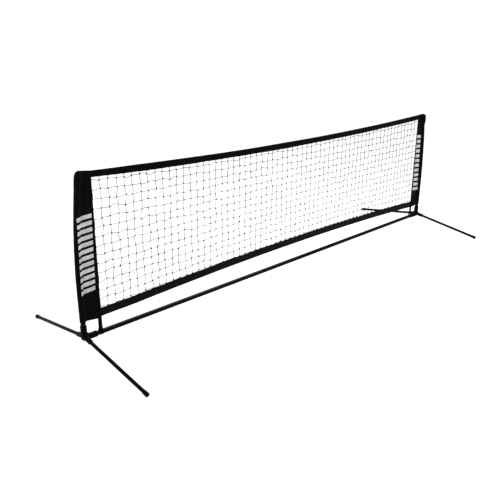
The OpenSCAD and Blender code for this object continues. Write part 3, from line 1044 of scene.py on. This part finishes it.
for end in (LEFT, RIGHT):
    tape, seams = Builder(), Builder()
    rows = []
    for z in spaced(HEM_Z - TAPE_HANG, tape_top(end), TAPE_STEPS):
        rows.append([tape_point(end, inset, y, z) for inset, y in tape_section()])
    tape.grid(rows)
    label = SIDE_NAME[end]
    made = thicken(tape.piece("tape_cloth_" + label, band_cloth, "band_cloth"), CLOTH)
    for side in (FRONT, REAR):
        for inset in TAPE_SEAMS:
            path = []
            for z in spaced(HEM_Z + TAPE_SHORT, tape_top(end) - TAPE_SHORT, TAPE_SEAM_STEPS):
                p = tape_point(end, inset, side * TAPE_HALF, z)
                p.y += side * (CLOTH / 2 + 0.0001)
                path.append(p)
            seams.stitch_row(path, side, TAPE_STITCH)
    sewn = seams.piece("tape_stitching_" + label, thread, "band_cloth")
    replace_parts(made, "edge_tape_" + label)

# ---------------------------------------------------------------- straps
STRAP_T = 0.0014
STRAP_LOW, STRAP_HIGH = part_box("strap_right")
STRAP_X = POST_X - (STRAP_LOW.x + STRAP_HIGH.x) / 2
STRAP_W = STRAP_HIGH.x - STRAP_LOW.x
STRAP_TOP = STRAP_HIGH.z
# From the net's plane to the middle of each run, and the height where they part round the rail
STRAP_Y, STRAP_SPREAD = 0.0026, 0.112
# Length of the path's steps, and how many rounds of easing soften its bends
STRAP_STEP, STRAP_ROUNDS = 0.0005, 14
STRAP_COLUMNS = 12
# Pitch of the stitches of the crossed box that closes the strap's upper end
BOX_STITCH = 0.0034
# The tabs: points round them, how square they are, how their edges are eased, and their frill
TAB_SIDES, TAB_POWER, TAB_EASE, TAB_FRILL = 64, 7, 0.0108, 0.000125


def strap_path():
    """The strap's middle line in the Y-Z plane: down, round the rail, and up."""
    y = STRAP_Y
    r = RAIL_R + 0.0001 + STRAP_T / 2
    drop = STRAP_SPREAD - RAIL_Z
    start = math.pi / 2 + math.atan(y / drop) + math.acos(r / math.hypot(y, drop))
    half = [Vector((0, -y, STRAP_TOP)), Vector((0, -y, STRAP_SPREAD))]
    for a in spaced(start, 1.5 * math.pi, 24):
        half.append(Vector((0, r * math.cos(a), RAIL_Z + r * math.sin(a))))
    other = [Vector((0, -p.y, p.z)) for p in reversed(half[:-1])]
    return half + other


def resample(path, step):
    """The path again with points about step apart."""
    out = [path[0]]
    for a, b in zip(path, path[1:]):
        n = max(1, round((b - a).length / step))
        out.extend(a.lerp(b, k / n) for k in range(1, n + 1))
    return out


line = resample(strap_path(), STRAP_STEP)
for _ in range(STRAP_ROUNDS):
    eased = [(a + b * 2 + c) / 4 for a, b, c in zip(line, line[1:], line[2:])]
    line = [line[0], *eased, line[-1]]
for end in (LEFT, RIGHT):
    strap, seams = Builder(), Builder()
    rows = []
    for k, p in enumerate(line):
        a, b = line[max(0, k - 1)], line[min(len(line) - 1, k + 1)]
        along = (b - a).normalized()
        out = Vector((0, -along.z, along.y))
        rib = 0.00012 * math.sin(2 * math.pi * k / 4)
        row = []
        for side in (1, -1):
            for t in spaced(-side, side, STRAP_COLUMNS):
                edge = math.sqrt(max(0.0, 1 - max(0.0, abs(t) - 0.9) ** 2 / 0.01))
                high = STRAP_T / 2 * edge + (rib + 0.00010 * math.cos(t * 16)) * edge
                high = max(high, 0.00012)
                across = at_post(end, STRAP_X + t * STRAP_W / 2, 0, 0)
                row.append(across + p + out * high * side)
        rows.append(row)
    strap.grid(rows, close_columns=True)
    n = len(rows[0])
    last = len(strap.points) - n
    for c in range(n // 2 - 1):
        strap.faces.append((c, c + 1, n - 2 - c, n - 1 - c))
        strap.faces.append((last + n - 1 - c, last + n - 2 - c, last + c + 1, last + c))
    label = SIDE_NAME[end]
    made = strap.piece("strap_web_" + label, webbing, "webbing")
    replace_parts(made, "strap_" + label)

    box_low, box_high, box_w = HEM_Z + 0.009, STRAP_TOP - 0.004, STRAP_W / 2 - 0.0025
    for side in (FRONT, REAR):
        y = side * (STRAP_Y + STRAP_T / 2 + 0.00012)
        ring = ((-box_w, box_low), (box_w, box_low), (box_w, box_high), (-box_w, box_high))
        corners = [at_post(end, STRAP_X + u, y, v) for u, v in ring]
        for a, b in ((0, 1), (1, 2), (2, 3), (3, 0), (0, 2), (1, 3)):
            seams.stitch_row(resample([corners[a], corners[b]], 0.001), side, BOX_STITCH)
    seams.piece("strap_stitching_" + label, thread, "webbing")

    tab_low, tab_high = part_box("strap_tab_" + label)
    tab = Builder()
    cx, cz = (tab_low.x + tab_high.x) / 2, (tab_low.z + tab_high.z) / 2
    hx, hz = (tab_high.x - tab_low.x) / 2, (tab_high.z - tab_low.z) / 2
    rows = []
    # Rings from the tab's back to its face: their share of its size, and how far out they lie
    for u, y in (
        (1.0, tab_low.y + 0.0001),
        (1.0, tab_low.y + 0.0008),
        (0.96, tab_high.y - 0.0001),
        (0.80, tab_high.y),
        (0.5, tab_high.y + 0.0001),
        (0.05, tab_high.y + 0.0001),
    ):
        row = []
        wide, tall = hx - TAB_EASE * (1 - u), hz - TAB_EASE * (1 - u)
        if u < 0.9:
            wide, tall = hx * u, hz * u
        frill_size = TAB_FRILL if u < 1.0 else 0.0
        for a in circle(TAB_SIDES):
            c, s = math.cos(a), math.sin(a)
            f = (abs(c) ** TAB_POWER + abs(s) ** TAB_POWER) ** (-1 / TAB_POWER)
            frill = frill_size * noise_at(c * 9, s * 9, y * 900, 19)
            row.append(Vector((cx + c * f * wide, y + frill, cz + s * f * tall)))
        rows.append(row)
    tab.grid(rows, close_columns=True)
    tab.close_ends(0, TAB_SIDES)
    made = tab.piece("tab_" + label, hook_and_loop, "hook_and_loop")
    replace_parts(made, "strap_tab_" + label)

# ---------------------------------------------------------------- floor, lights, camera
FLOOR = [(-40, -40, 0), (40, -40, 0), (40, 60, 0), (-40, 60, 0)]
# The floor lies this far under the object's feet
FLOOR_GAP = 0.0002
floor = bpy.data.meshes.new("floor")
floor.from_pydata(FLOOR, [], [(0, 1, 2, 3)])
floor_piece = bpy.data.objects.new("floor", floor)
bpy.context.scene.collection.objects.link(floor_piece)
floor_piece.location.z = -FLOOR_GAP
floor.materials.append(
    finish_for(
        "floor_paper",
        grey(0.10),
        grey(0.12),
        0.9,
        0.0,
        patch=0.6,
        fine=40,
        bump=0.02,
        Emission_Color=(1, 1, 1, 1),
        Emission_Strength=1.0,
    )
)
floor_piece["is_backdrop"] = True

# A white room, dimmer overhead so that black cloth and paint stay black, and brightest behind the
# net's near end, where its light catches the tops of the tubes
world = bpy.data.worlds.new("white_room")
bpy.context.scene.world = world
world.use_nodes = True
sky = world.node_tree
facing = add(sky, "ShaderNodeTexCoord").outputs["Generated"]
east, north, height = add(sky, "ShaderNodeSeparateXYZ", {0: facing}).outputs
inputs = {"Value": height, "From Min": 0.2, "From Max": 0.6, "To Min": 1.05, "To Max": 0.2}
overhead = add(sky, "ShaderNodeMapRange", inputs).outputs[0]
inputs = {"Value": maths(sky, "SUBTRACT", north, east), "From Min": -0.2, "From Max": 0.4}
behind = add(sky, "ShaderNodeMapRange", inputs).outputs[0]
inputs = {"Value": height, "From Min": 0.1, "From Max": 0.5, "To Min": 2.6, "To Max": 0.0}
low_wall = add(sky, "ShaderNodeMapRange", inputs).outputs[0]
strength = maths(sky, "ADD", overhead, maths(sky, "MULTIPLY", behind, low_wall))
sky.links.new(strength, sky.nodes["Background"].inputs["Strength"])
sky.nodes["Background"].inputs["Color"].default_value = (1, 1, 1, 1)
bpy.context.scene.view_settings.view_transform = "Standard"


def area_light(name, place, target, size, power):
    data = bpy.data.lights.new(name, "AREA")
    data.shape = "RECTANGLE"
    data.size, data.size_y = size
    data.energy = power
    made = bpy.data.objects.new(name, data)
    bpy.context.scene.collection.objects.link(made)
    made.location = place
    aim = Vector(target) - Vector(place)
    made.rotation_euler = aim.to_track_quat("-Z", "Y").to_euler()


area_light("overhead_soft_box", (1.0, 0.5, 2.6), (1.0, 0.5, 0), (2.6, 2.4), 260)
area_light("front_soft_box", (-3.6, -3.4, 3.2), (0, 0, 0.4), (2.2, 2.2), 18)

# The camera's place in metres, its turn, dip and roll, and its lens
CAMERA_PLACE = Vector((-2.7253, -2.4053, 1.5070))
AZIMUTH, DOWN, ROLL = (math.radians(v) for v in (-44.31, 20.50, 0.33))
LENS, SENSOR = 43.32, 36
data = bpy.data.cameras.new("camera")
data.lens, data.sensor_width = LENS, SENSOR
camera = bpy.data.objects.new("camera", data)
bpy.context.scene.collection.objects.link(camera)
ahead = Vector(
    (-math.sin(AZIMUTH) * math.cos(DOWN), math.cos(AZIMUTH) * math.cos(DOWN), -math.sin(DOWN))
)
level = Vector((math.cos(AZIMUTH), math.sin(AZIMUTH), 0))
upward = level.cross(ahead)
across = math.cos(ROLL) * level + math.sin(ROLL) * upward
over = -math.sin(ROLL) * level + math.cos(ROLL) * upward
turn = Matrix((across, over, -ahead)).transposed().to_4x4()
camera.matrix_world = Matrix.Translation(CAMERA_PLACE) @ turn
bpy.context.scene.camera = camera

low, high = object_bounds()
